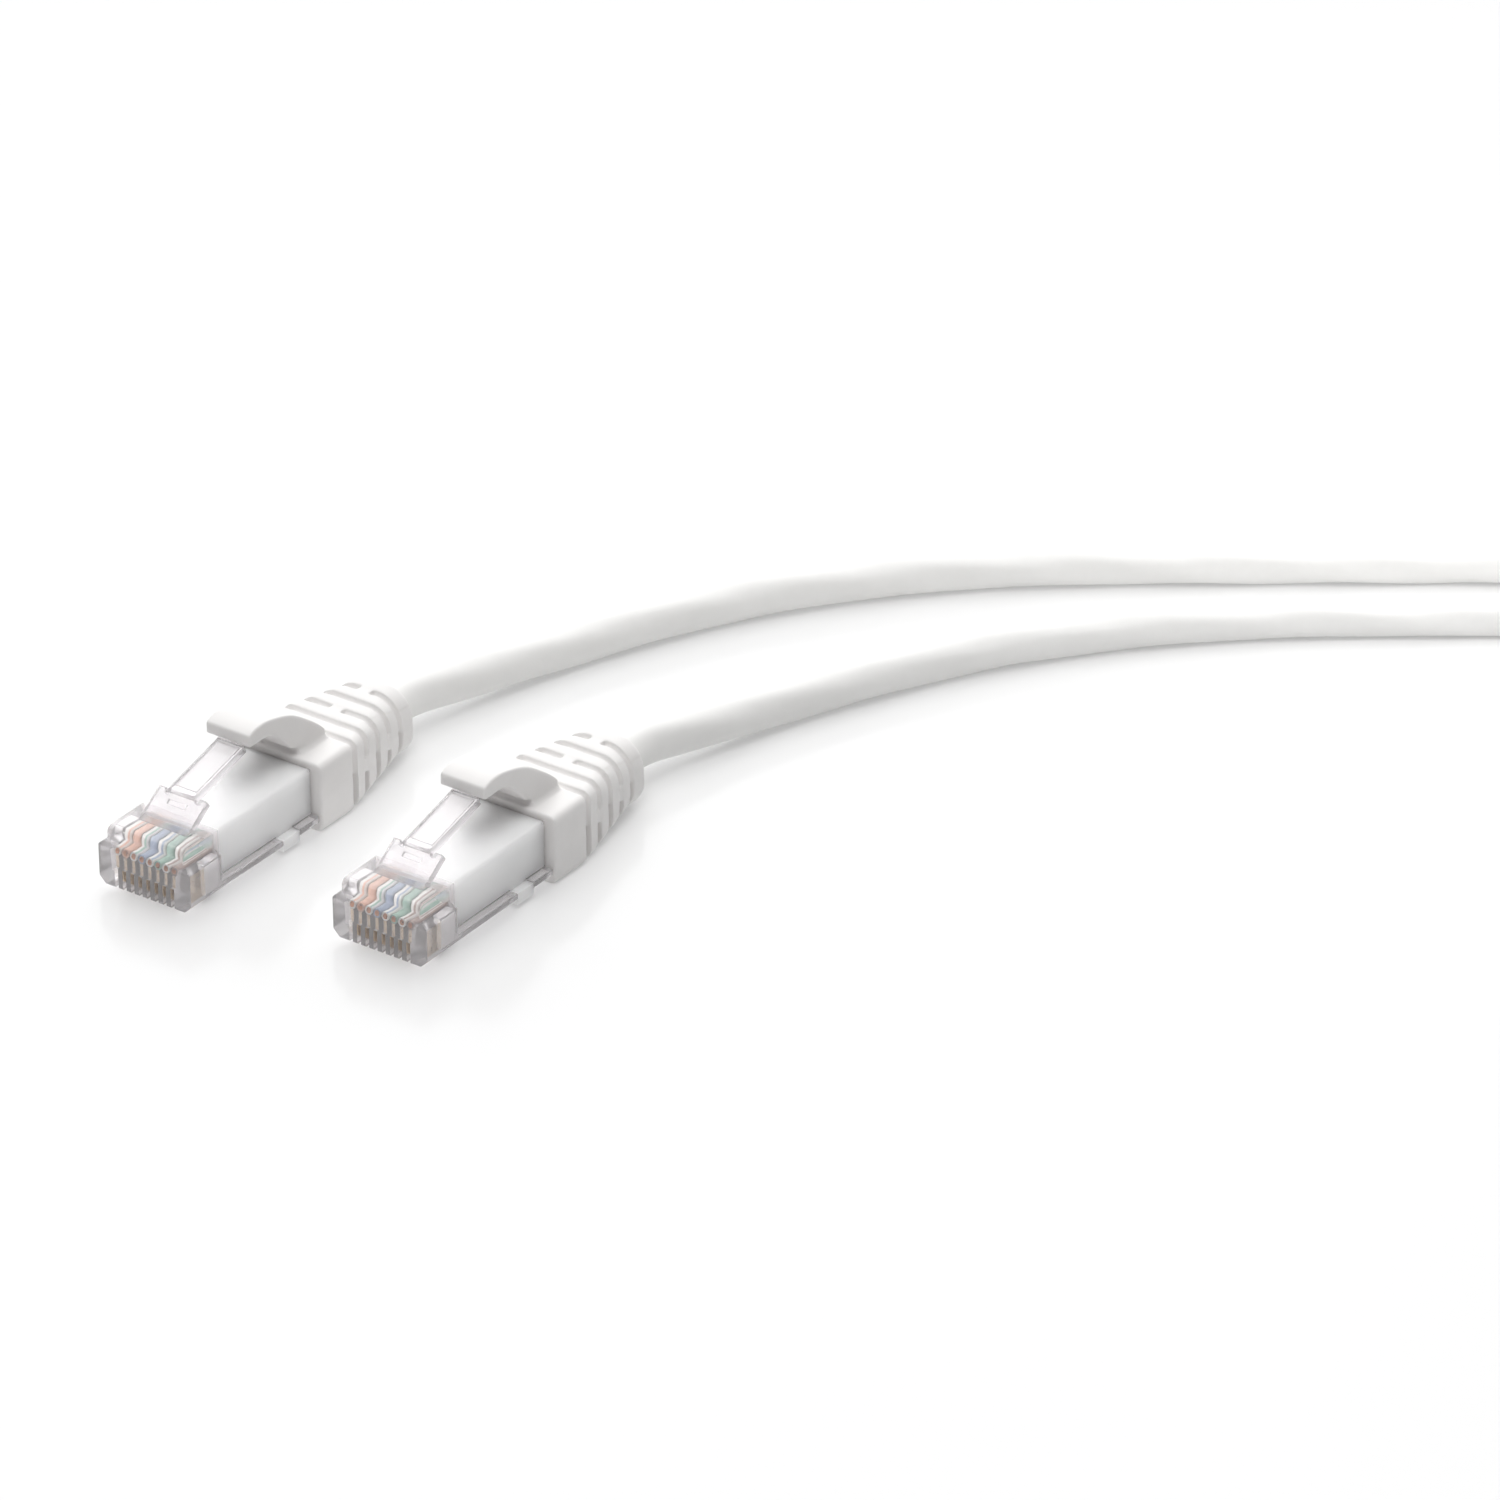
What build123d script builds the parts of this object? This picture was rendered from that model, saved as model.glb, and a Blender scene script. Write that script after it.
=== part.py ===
from build123d import *
import math
import os

# Ethernet patch cable with two identical moulded ends, in millimetres, +Z up.
# Each end is first built in its own frame: x across the plug, y from the nose face
# towards the cable, z from the plug's underside.  place() then sets it on the surface.
# The whole part's origin is the bottom centre of the box around the two ends.

# Clearances
MOULDED_GAP = 0.02      # between pieces that are moulded or pressed onto each other
SLIDE_GAP = 0.06        # around pieces that slide into a slot
HINGE_GAP = 0.15        # around the latch root and the lever root, which swing
ASSEMBLY_GAP = 0.05     # between pieces that are pushed together
JOIN = 0.1              # overlap of the shapes that one solid is joined from

# Plug housing, modular 8P8C
NOSE_WIDTH = 11.68
NOSE_LENGTH = 5.2
NOSE_SHOULDER_Z = 4.45
SHOULDER_RISE = 0.7
NOSE_BEVEL = 0.8
FRONT_BEVEL = 0.4
BODY_WIDTH = 9.7
PLUG_HEIGHT = 6.65
HOUSING_LENGTH = 21.15
FLANGE_THICKNESS = 1.4
SIDE_WALL = 0.45
TOP_WALL = 0.9
FLOOR_WALL = 1.5
CORD_WINDOW_START = 15.1
CORD_WINDOW_LENGTH = 2.8
CORD_WINDOW_WIDTH = 5.0

# Contacts
CONTACT_COUNT = 8
CONTACT_PITCH = 1.02
BLADE_THICKNESS = 0.33
BLADE_LENGTH = 3.4
BLADE_RECESS = 0.35     # blade edge below the housing's underside and behind its face
BLADE_TIP_RADIUS = 0.6
SLOT_FACE_TOP = 2.3     # top of the slot where it opens through the nose face
FACE_WALL = 0.55        # nose wall in front of the wire ends
PRONG_COUNT = 3
PRONG_LENGTH = 0.5
PRONG_ROOT = 0.3        # below the insulation, inside the blade

# Conductors
WIRE_DIAMETER = 0.86
CORE_DIAMETER = 0.5
WIRE_ROW_Z = 4.05       # height of the row of wires in the nose
WIRE_ROW_END = 6.0      # the wires lie side by side up to here
WIRE_SPREAD_Z = 3.0     # length over which they shift in height
WIRE_SPREAD_X = 4.5     # length over which they close up sideways
WIRE_BEND_RADIUS = 1.6
BUNDLE_RADIUS = 1.08    # circle on which seven wires lie around the eighth
WIRE_COLOURS = [
    "white_orange", "orange", "white_green", "blue",
    "white_blue", "green", "white_brown", "brown",
]
BUNDLE_SEATS = [2, 1, 3, 0, None, 4, 6, 5]      # seat on that circle, None is its centre

# Inner mould, which grips the wires and the jacket inside the housing
MOULD_FRONT = 4.4
MOULD_SLOPE_END = 6.7
MOULD_SLOPE_RISE = 1.2  # from the housing's floor to the foot of the slope
MOULD_STEP = 0.3
MOULD_REAR_GAP = 1.95   # from its rear face to the housing's rear face

# Cable
CABLE_DIAMETER = 4.5
JACKET_WALL = 0.65
CABLE_HEIGHT = 3.3      # axis above the plug's underside
JACKET_START = 13.9
END_LENGTH = 40.0       # nose face to the rear face of the boot

# Boot
BOOT_WIDTH = 12.3
BOOT_BOTTOM = -0.5
BOOT_TOP = 7.3
BOOT_CORNER = 0.9
BLOCK_LENGTH = 5.4
GROOVE_COUNT = 5
GROOVE_PITCH = 2.4
GROOVE_WIDTH = 0.9
GROOVE_DEPTH = 1.1
BRIDGE_WIDTH = 1.5
REAR_WIDTH = 9.0
REAR_CORNER = 3.3
COLLAR_LENGTH = 1.7     # straight part of the rear collar
COLLAR_END_WALL = 0.75  # wall around the cable at the rear face

# Latch
LATCH_WIDTH = 6.0
LATCH_BAR_WIDTH = 3.2
LATCH_THICKNESS = 0.9
LATCH_PIVOT_Y = 3.9
LATCH_RAMP_LENGTH = 3.8
LATCH_RAMP_ANGLE = 34.5
LATCH_BAR_ANGLE = 14.2
LATCH_BAR_STEP = 0.3    # bar stands proud of the ramp
LATCH_BAR_LAP = (0.2, 0.9)      # lengths over which its top and its root lap the ramp
LATCH_END = 14.6
LATCH_POCKET_REAR = 1.6
LATCH_TRAVEL = 14.0     # degrees

# Lever of the boot, which reaches forward over the latch
LEVER_WIDTH = 5.6
LEVER_PIVOT = (23.2, 7.4)
LEVER_ROOT_RADIUS = 1.2
LEVER_FRONT = 14.0
LEVER_PAD_REAR = 16.0
LEVER_PAD_BOTTOM = 11.65
LEVER_PAD_THICKNESS = 1.3
LEVER_BACK = [(16.1, 13.45), (18.8, 13.0), (21.2, 12.15), (23.0, 11.0), (25.0, 9.5), (26.3, 8.3)]
LEVER_BELLY = [(19.5, 9.95), (18.5, 10.9), (17.3, 11.5)]
LEVER_HEEL = 2.5        # from the pivot forward to the foot of the belly
LEVER_UNDERCUT_ANGLE = 24.0

# Layout of the two ends on the surface
ENDS_OFFSET = (25.6, 5.1)       # second end relative to the first
CABLE_LIE_Z = CABLE_DIAMETER / 2

# Routes of the two free leads, from the boot to the coil
EXIT_Z = CABLE_HEIGHT - BOOT_BOTTOM
LEAD_A_ROUTE = [
    (-12.8, 17.45, EXIT_Z),
    (-12.8, 20.65, EXIT_Z),
    (-12.1, 24.4, 3.5),
    (-10.3, 31.2, 2.8),
    (-8.2, 38.5, 2.35),
    (-4.95, 46.8, 2.25),
    (-0.65, 56.4, 2.25),
    (5.8, 66.7, 2.25),
    (14.3, 76.6, 2.25),
    (24.5, 85.9, 2.25),
    (46.0, 101.3, 2.25),
    (70.0, 118.3, 2.25),
    (86.9, 121.6, 2.25),
    (110.7, 120.4, 2.25),
    (134.6, 115.9, 2.25),
]
LEAD_B_ROUTE = [
    (12.8, 22.55, EXIT_Z),
    (12.8, 25.75, EXIT_Z),
    (13.55, 29.5, 3.5),
    (15.7, 36.2, 2.8),
    (17.9, 43.4, 2.35),
    (21.3, 51.3, 2.25),
    (25.8, 60.8, 2.25),
    (32.3, 71.0, 2.25),
    (40.9, 80.9, 2.25),
    (51.0, 90.15, 2.25),
    (64.5, 99.9, 2.25),
    (72.0, 105.2, 2.3),
    (81.1, 107.1, 3.2),
    (90.2, 105.2, 4.6),
    (97.8, 99.9, 5.9),
    (102.6, 92.1, 6.6),
    (104.0, 84.2, 6.75),
]
ARC_SHARE = 0.45        # of the shorter run beside a corner, taken by its arc

# Coil of the length that is put away, and the strap that holds it
COIL_CENTRE = (129.9, 90.1)
COIL_COLUMNS = 2
COIL_LAYERS = 2
COIL_MEAN_RADIUS = 24.1
COIL_EDGE_RADIUS = 1.5
STRAP_THICKNESS = 0.8
STRAP_WIDTH = 10.0
STRAP_ANGLE = -25.0     # place of the strap around the coil

# Worked out from the sizes above
NOSE_HALF = NOSE_WIDTH / 2
BODY_HALF = BODY_WIDTH / 2
CAVITY_HALF = BODY_HALF - SIDE_WALL
CAVITY_TOP = PLUG_HEIGHT - TOP_WALL
WIRE_RADIUS = WIRE_DIAMETER / 2
CORE_RADIUS = CORE_DIAMETER / 2
CABLE_RADIUS = CABLE_DIAMETER / 2
BLADE_START = FACE_WALL
BLADE_END = BLADE_START + BLADE_LENGTH
MOULD_REAR = HOUSING_LENGTH - MOULD_REAR_GAP
BLOCK_END = HOUSING_LENGTH + BLOCK_LENGTH
BOOT_HEIGHT = BOOT_TOP - BOOT_BOTTOM
BOOT_MIDDLE = (BOOT_TOP + BOOT_BOTTOM) / 2
COLLAR_START = BLOCK_END + GROOVE_COUNT * GROOVE_PITCH - (GROOVE_PITCH - GROOVE_WIDTH)
LATCH_PIVOT = (LATCH_PIVOT_Y, PLUG_HEIGHT)
LATCH_ROOT_RADIUS = LATCH_THICKNESS / 2


def block(x_low, x_high, y_low, y_high, z_low, z_high):
    """A box between two corners."""
    centre = ((x_low + x_high) / 2, (y_low + y_high) / 2, (z_low + z_high) / 2)
    return Pos(*centre) * Box(x_high - x_low, y_high - y_low, z_high - z_low)


def slab(outline, half_width):
    """A side outline of (y, z) points, extruded across the plug."""
    edge = Polyline(*[(-half_width, y, z) for y, z in outline], close=True)
    return extrude(make_face(edge), amount=2 * half_width, dir=(1, 0, 0))


def bar(outline, y_low, y_high):
    """A front outline of (x, z) points, extruded along the plug."""
    edge = Polyline(*[(x, y_low, z) for x, z in outline], close=True)
    return extrude(make_face(edge), amount=y_high - y_low, dir=(0, 1, 0))


def rod_x(y, z, radius, half_width):
    """A round rod across the plug."""
    return Pos(0, y, z) * Rot(0, 90, 0) * Cylinder(radius, 2 * half_width)


def rod_y(z, radius, y_low, y_high):
    """A round rod along the plug, on its middle plane."""
    return Pos(0, (y_low + y_high) / 2, z) * Rot(90, 0, 0) * Cylinder(radius, y_high - y_low)


def tube_along(path, radius, bore=0.0):
    """A round section, hollow if it has a bore, swept along a path."""
    section = Circle(radius) if bore == 0 else Circle(radius) - Circle(bore)
    start = Plane(origin=path @ 0, z_dir=path % 0)
    return sweep(start * section, path=path)


def contact_positions():
    """Places of the contacts and wires across the nose."""
    first = -(CONTACT_COUNT - 1) / 2 * CONTACT_PITCH
    return [first + i * CONTACT_PITCH for i in range(CONTACT_COUNT)]


# Housing

def mould_outline(gap):
    """Side outline of the inner mould, or of its cavity with a gap of zero."""
    return [
        (MOULD_FRONT + gap, WIRE_ROW_Z - WIRE_RADIUS),
        (MOULD_SLOPE_END + gap, FLOOR_WALL + MOULD_SLOPE_RISE),
        (MOULD_SLOPE_END + MOULD_STEP + gap, FLOOR_WALL + gap),
        (MOULD_REAR, FLOOR_WALL + gap),
        (MOULD_REAR, CAVITY_TOP - gap),
        (MOULD_FRONT + gap, CAVITY_TOP - gap),
    ]


def housing_shell():
    """Outside of the housing: full-width nose, narrower body on a full-width flange."""
    nose_front = [
        (-NOSE_HALF + NOSE_BEVEL, 0),
        (NOSE_HALF - NOSE_BEVEL, 0),
        (NOSE_HALF, NOSE_BEVEL),
        (NOSE_HALF, NOSE_SHOULDER_Z),
        (BODY_HALF, NOSE_SHOULDER_Z + SHOULDER_RISE),
        (BODY_HALF, PLUG_HEIGHT),
        (-BODY_HALF, PLUG_HEIGHT),
        (-BODY_HALF, NOSE_SHOULDER_Z + SHOULDER_RISE),
        (-NOSE_HALF, NOSE_SHOULDER_Z),
        (-NOSE_HALF, NOSE_BEVEL),
    ]
    nose = bar(nose_front, 0, NOSE_LENGTH)
    nose = chamfer(nose.faces().sort_by(Axis.Y)[0].edges(), FRONT_BEVEL)
    flange_front = [
        (-NOSE_HALF + NOSE_BEVEL, 0),
        (NOSE_HALF - NOSE_BEVEL, 0),
        (NOSE_HALF, NOSE_BEVEL),
        (NOSE_HALF, FLANGE_THICKNESS),
        (-NOSE_HALF, FLANGE_THICKNESS),
        (-NOSE_HALF, NOSE_BEVEL),
    ]
    flange = bar(flange_front, NOSE_LENGTH, HOUSING_LENGTH)
    body = block(-BODY_HALF, BODY_HALF, NOSE_LENGTH, HOUSING_LENGTH, 0, PLUG_HEIGHT)
    return nose + flange + body


def contact_slots():
    """Slots that open through the underside and the nose face, one for each contact."""
    half = BLADE_THICKNESS / 2 + SLIDE_GAP
    wire_floor = WIRE_ROW_Z - WIRE_RADIUS
    slots = []
    for x in contact_positions():
        slots.append(block(x - half, x + half, -1, BLADE_END + SLIDE_GAP, -1, SLOT_FACE_TOP))
        slots.append(block(x - half, x + half, BLADE_START - SLIDE_GAP,
                           BLADE_END + SLIDE_GAP, SLOT_FACE_TOP - JOIN, wire_floor))
    return slots


def wire_channels():
    """One round channel for each wire, from behind the nose face to the mould cavity."""
    radius = WIRE_RADIUS + MOULDED_GAP
    length = MOULD_SLOPE_END - FACE_WALL
    middle = FACE_WALL + length / 2
    return [Pos(x, middle, WIRE_ROW_Z) * Rot(90, 0, 0) * Cylinder(radius, length)
            for x in contact_positions()]


def latch_pocket():
    """Relief in the nose top, in which the root of the latch swings."""
    y, z = LATCH_PIVOT
    clear = LATCH_ROOT_RADIUS + HINGE_GAP
    half = LATCH_WIDTH / 2 + HINGE_GAP
    return block(-half, half, y - clear, y + LATCH_POCKET_REAR, z - clear, z + 1)


def plug_housing():
    shell = housing_shell()
    cavity = slab(mould_outline(0), CAVITY_HALF)
    rear = block(-CAVITY_HALF, CAVITY_HALF, MOULD_REAR, HOUSING_LENGTH + 1, FLOOR_WALL, CAVITY_TOP)
    window_end = CORD_WINDOW_START + CORD_WINDOW_LENGTH
    window = block(-CORD_WINDOW_WIDTH / 2, CORD_WINDOW_WIDTH / 2,
                   CORD_WINDOW_START, window_end, -1, FLOOR_WALL + JOIN)
    around = block(-NOSE_HALF - 1, NOSE_HALF + 1, CORD_WINDOW_START, window_end,
                   -1, FLANGE_THICKNESS)
    notches = around - block(-BODY_HALF, BODY_HALF, 0, HOUSING_LENGTH, -2, PLUG_HEIGHT)
    trough = rod_y(CABLE_HEIGHT, CABLE_RADIUS + MOULDED_GAP, JACKET_START - MOULDED_GAP,
                   HOUSING_LENGTH + 1)
    cuts = [cavity, rear, window, notches, trough, latch_pocket()]
    return shell - cuts - contact_slots() - wire_channels()


# Contacts and wires

def prong_boxes(x, gap):
    """The prongs of one contact, which pierce the insulation up to the copper."""
    half = BLADE_THICKNESS / 2 + gap
    step = BLADE_LENGTH / PRONG_COUNT
    low = WIRE_ROW_Z - WIRE_RADIUS - PRONG_ROOT
    high = WIRE_ROW_Z - CORE_RADIUS - MOULDED_GAP + gap
    prongs = []
    for i in range(PRONG_COUNT):
        middle = BLADE_START + (i + 0.5) * step
        prongs.append(block(x - half, x + half, middle - PRONG_LENGTH / 2 - gap,
                            middle + PRONG_LENGTH / 2 + gap, low, high))
    return prongs


def contact_blade(x):
    top = WIRE_ROW_Z - WIRE_RADIUS - SLIDE_GAP
    half = BLADE_THICKNESS / 2
    blade = block(x - half, x + half, BLADE_START, BLADE_END, BLADE_RECESS, top)
    tip = blade.edges().filter_by(Axis.X).group_by(Axis.Z)[0].sort_by(Axis.Y)[0]
    return fillet(tip, BLADE_TIP_RADIUS) + prong_boxes(x, 0)


def contacts():
    return Compound([contact_blade(x).solid() for x in contact_positions()])


def bundle_seat(seat):
    """Place of a wire inside the jacket."""
    if seat is None:
        return 0.0, CABLE_HEIGHT
    angle = math.radians(90 + seat * 360 / (CONTACT_COUNT - 1))
    return BUNDLE_RADIUS * math.cos(angle), CABLE_HEIGHT + BUNDLE_RADIUS * math.sin(angle)


def wire_path(index):
    """From the nose back, first shifting in height and then closing up sideways."""
    x = contact_positions()[index]
    seat_x, seat_z = bundle_seat(BUNDLE_SEATS[index])
    level = WIRE_ROW_END + WIRE_SPREAD_Z
    points = [
        (x, FACE_WALL + MOULDED_GAP, WIRE_ROW_Z),
        (x, WIRE_ROW_END, WIRE_ROW_Z),
        (x, level, seat_z),
        (seat_x, level + WIRE_SPREAD_X, seat_z),
        (seat_x, END_LENGTH, seat_z),
    ]
    return FilletPolyline(*points, radius=WIRE_BEND_RADIUS)


def wire_insulation(index):
    x = contact_positions()[index]
    bore = CORE_RADIUS + MOULDED_GAP
    return tube_along(wire_path(index), WIRE_RADIUS, bore) - prong_boxes(x, MOULDED_GAP / 2)


def wire_cores():
    paths = [wire_path(i) for i in range(CONTACT_COUNT)]
    return Compound([tube_along(path, CORE_RADIUS).solid() for path in paths])


def inner_mould():
    """White mould inside the housing, cast around the wires and the end of the jacket."""
    body = slab(mould_outline(MOULDED_GAP), CAVITY_HALF - MOULDED_GAP)
    jacket = rod_y(CABLE_HEIGHT, CABLE_RADIUS + MOULDED_GAP, JACKET_START - MOULDED_GAP, END_LENGTH)
    wires = [tube_along(wire_path(i), WIRE_RADIUS + MOULDED_GAP) for i in range(CONTACT_COUNT)]
    return body - jacket - wires


def jacket_end():
    """The cable's jacket from inside the plug to the rear face of the boot."""
    outer = rod_y(CABLE_HEIGHT, CABLE_RADIUS, JACKET_START, END_LENGTH)
    return outer - rod_y(CABLE_HEIGHT, CABLE_RADIUS - JACKET_WALL, JACKET_START - 1, END_LENGTH + 1)


# Boot and lever

def boot_section(y, inset=0.0):
    """Rounded section of the boot at a place along it, as it tapers to the rear."""
    share = min(max((y - BLOCK_END) / (COLLAR_START - BLOCK_END), 0), 1)
    width = BOOT_WIDTH + share * (REAR_WIDTH - BOOT_WIDTH) - 2 * inset
    height = BOOT_HEIGHT - 2 * inset
    corner = BOOT_CORNER + share * (REAR_CORNER - BOOT_CORNER)
    corner = min(corner - inset / 2, height / 2 - JOIN)
    plane = Plane(origin=(0, y, BOOT_MIDDLE), x_dir=(1, 0, 0), z_dir=(0, 1, 0))
    return plane * RectangleRounded(width, height, corner)


def boot_length(y_low, y_high, inset=0.0):
    """One stretch of the boot between two of its sections."""
    return loft([boot_section(y_low, inset), boot_section(y_high, inset)])


def boot_bridges():
    """Webs left across the grooves: odd ones at top and bottom, even ones at the sides."""
    bridges = []
    reach = BOOT_HEIGHT / 2 - JOIN / 2
    for i in range(GROOVE_COUNT):
        start = BLOCK_END + i * GROOVE_PITCH
        low, high = start - JOIN, start + GROOVE_WIDTH + JOIN
        half = BRIDGE_WIDTH / 2
        if i % 2 == 0:
            bridges.append(block(-half, half, low, high, BOOT_MIDDLE - reach, BOOT_MIDDLE + reach))
        else:
            share = (high - BLOCK_END) / (COLLAR_START - BLOCK_END)
            side = (BOOT_WIDTH + share * (REAR_WIDTH - BOOT_WIDTH)) / 2 - JOIN
            bridges.append(block(-side, side, low, high, BOOT_MIDDLE - half, BOOT_MIDDLE + half))
    return bridges


def boot_collar():
    """Rear collar with its sloping end around the cable."""
    straight_end = COLLAR_START + COLLAR_LENGTH
    collar = boot_length(COLLAR_START, straight_end)
    end_size = CABLE_DIAMETER + 2 * COLLAR_END_WALL
    plane = Plane(origin=(0, END_LENGTH, CABLE_HEIGHT), x_dir=(1, 0, 0), z_dir=(0, 1, 0))
    end = plane * RectangleRounded(end_size, end_size, end_size / 2 - JOIN)
    return collar + loft([boot_section(straight_end), end])


def boot():
    front = boot_length(HOUSING_LENGTH + MOULDED_GAP, BLOCK_END)
    core = boot_length(BLOCK_END - JOIN, COLLAR_START + JOIN, GROOVE_DEPTH)
    ribs = []
    for i in range(GROOVE_COUNT - 1):
        start = BLOCK_END + i * GROOVE_PITCH + GROOVE_WIDTH
        ribs.append(boot_length(start, start + GROOVE_PITCH - GROOVE_WIDTH))
    spigot = block(-CAVITY_HALF + ASSEMBLY_GAP, CAVITY_HALF - ASSEMBLY_GAP,
                   MOULD_REAR + ASSEMBLY_GAP, HOUSING_LENGTH + 1,
                   FLOOR_WALL + ASSEMBLY_GAP, CAVITY_TOP - ASSEMBLY_GAP)
    shape = front + core + ribs + boot_bridges() + boot_collar() + spigot
    bore = rod_y(CABLE_HEIGHT, CABLE_RADIUS + MOULDED_GAP, MOULD_REAR - 1, END_LENGTH + 1)
    pivot_y, pivot_z = LEVER_PIVOT
    seat = rod_x(pivot_y, pivot_z, LEVER_ROOT_RADIUS + HINGE_GAP, LEVER_WIDTH / 2 + HINGE_GAP)
    return shape - bore - seat


def boot_lever():
    """Arched lever: a pad over the latch tip, a rising back and a thick root."""
    pivot_y, pivot_z = LEVER_PIVOT
    half = LEVER_WIDTH / 2
    floor = BOOT_TOP + HINGE_GAP
    pad_top = LEVER_PAD_BOTTOM + LEVER_PAD_THICKNESS
    rear_y, rear_z = LEVER_BACK[-1]
    heel_y = pivot_y - LEVER_HEEL
    heel_z = pivot_z + LEVER_HEEL * math.tan(math.radians(LEVER_UNDERCUT_ANGLE))

    def at(y, z):
        return -half, y, z

    edges = [
        Spline(at(LEVER_FRONT, pad_top), *[at(y, z) for y, z in LEVER_BACK]),
        Polyline(at(rear_y, rear_z), at(rear_y, floor), at(pivot_y, floor), at(heel_y, heel_z)),
        Spline(at(heel_y, heel_z), *[at(y, z) for y, z in LEVER_BELLY],
               at(LEVER_PAD_REAR, LEVER_PAD_BOTTOM)),
        Polyline(at(LEVER_PAD_REAR, LEVER_PAD_BOTTOM), at(LEVER_FRONT, LEVER_PAD_BOTTOM),
                 at(LEVER_FRONT, pad_top)),
    ]
    arch = extrude(make_face(edges), amount=2 * half, dir=(1, 0, 0))
    return arch + rod_x(pivot_y, pivot_z, LEVER_ROOT_RADIUS, half)


# Latch

def latch():
    """Wide ramp from the root in the nose, then a narrow bar that runs under the lever."""
    root_y, root_z = LATCH_PIVOT
    ramp = math.radians(LATCH_RAMP_ANGLE)
    rise = math.radians(LATCH_BAR_ANGLE)
    half_thick = LATCH_THICKNESS / 2

    def on_ramp(along, across):
        return (root_y + along * math.cos(ramp) - across * math.sin(ramp),
                root_z + along * math.sin(ramp) + across * math.cos(ramp))

    plate = slab([on_ramp(0, half_thick), on_ramp(0, -half_thick),
                  on_ramp(LATCH_RAMP_LENGTH, -half_thick), on_ramp(LATCH_RAMP_LENGTH, half_thick)],
                 LATCH_WIDTH / 2)
    root = rod_x(root_y, root_z, LATCH_ROOT_RADIUS, LATCH_WIDTH / 2)
    top_lap, root_lap = LATCH_BAR_LAP
    start_y, start_z = on_ramp(LATCH_RAMP_LENGTH - top_lap, half_thick + LATCH_BAR_STEP)
    run = LATCH_END - start_y
    end_z = start_z + run * math.tan(rise)
    foot_y, foot_z = on_ramp(LATCH_RAMP_LENGTH, -half_thick)
    narrow = slab([(start_y, start_z), on_ramp(LATCH_RAMP_LENGTH - root_lap, 0), (foot_y, foot_z),
                   (LATCH_END, end_z - LATCH_THICKNESS), (LATCH_END, end_z)], LATCH_BAR_WIDTH / 2)
    return plate + root + narrow


# Free cable

def corner_radii(route):
    """Arc radius at each corner of a route, from the shorter run beside it."""
    points = [Vector(*p) for p in route]
    radii = []
    for before, corner, after in zip(points, points[1:], points[2:]):
        turn = math.radians((corner - before).get_angle(after - corner))
        shorter = min((corner - before).length, (after - corner).length)
        radii.append(ARC_SHARE * shorter / math.tan(turn / 2))
    return radii


def cable_lead(route, name):
    radii = corner_radii(route)
    path = FilletPolyline(*route, radius=radii)
    lead = tube_along(path, CABLE_RADIUS)
    expected = math.pi * CABLE_RADIUS ** 2 * path.length
    print(name, "length", round(path.length, 1), "volume ratio", round(lead.volume / expected, 4))
    print(name, "radii", [round(r, 1) for r in radii])
    return lead


def ring(radius_low, radius_high, z_low, z_high, start=0.0, arc=360.0):
    """A rectangular section turned about the coil's axis."""
    middle = (radius_low + radius_high) / 2
    plane = Plane(origin=(middle, 0, (z_low + z_high) / 2), x_dir=(1, 0, 0), z_dir=(0, -1, 0))
    section = plane * Rectangle(radius_high - radius_low, z_high - z_low)
    return Rot(0, 0, start) * revolve(section, axis=Axis.Z, revolution_arc=arc)


def coil_size():
    """Inner radius, outer radius and height of the coil."""
    half = COIL_COLUMNS * CABLE_DIAMETER / 2
    return COIL_MEAN_RADIUS - half, COIL_MEAN_RADIUS + half, COIL_LAYERS * CABLE_DIAMETER


def strap_arc():
    """Where the strap starts around the coil, and the angle that it covers."""
    arc = math.degrees(STRAP_WIDTH / COIL_MEAN_RADIUS)
    return STRAP_ANGLE - arc / 2, arc


def cable_coil():
    inner, outer, height = coil_size()
    turns = ring(inner, outer, 0, height)
    turns = fillet(turns.edges(), COIL_EDGE_RADIUS)
    start, arc = strap_arc()
    seat = ring(inner - 1, outer + 1, -1, STRAP_THICKNESS, start, arc)
    return Pos(*COIL_CENTRE) * (turns - seat)


def coil_strap():
    """Strap around the coil's section, flush with the surface below."""
    inner, outer, height = coil_size()
    start, arc = strap_arc()
    thick = STRAP_THICKNESS
    band = ring(inner - thick, outer + thick, 0, height + thick, start, arc)
    hole = ring(inner, outer, thick, height, start - 1, arc + 2)
    return Pos(*COIL_CENTRE) * (band - hole)


# Assembly

def place(end):
    """Position of an end: 0 is the first, 1 the second."""
    across, along = ENDS_OFFSET
    x = (end - 0.5) * across
    y = -(along + END_LENGTH) / 2 + end * along
    return Pos(x, y, -BOOT_BOTTOM)


def end_pieces():
    """All pieces of one moulded end, in its own frame."""
    pieces = {
        "plug_housing": plug_housing(),
        "contacts": contacts(),
        "wire_cores": wire_cores(),
        "inner_mould": inner_mould(),
        "jacket_end": jacket_end(),
        "latch": latch(),
        "boot": boot(),
        "boot_lever": boot_lever(),
    }
    for index, colour in enumerate(WIRE_COLOURS):
        pieces["wire_" + colour] = wire_insulation(index)
    return pieces


def main():
    os.makedirs("parts", exist_ok=True)
    pieces = end_pieces()
    for end, letter in enumerate("ab"):
        for name, piece in pieces.items():
            export_step(place(end) * piece, "parts/" + name + "_" + letter + ".step")
    export_step(cable_lead(LEAD_A_ROUTE, "cable_lead_a"), "parts/cable_lead_a.step")
    export_step(cable_lead(LEAD_B_ROUTE, "cable_lead_b"), "parts/cable_lead_b.step")
    export_step(cable_coil(), "parts/cable_coil.step")
    export_step(coil_strap(), "parts/coil_strap.step")


main()
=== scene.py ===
import math

import bmesh
import bpy
import numpy as np
from mathutils import Matrix, Vector


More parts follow.
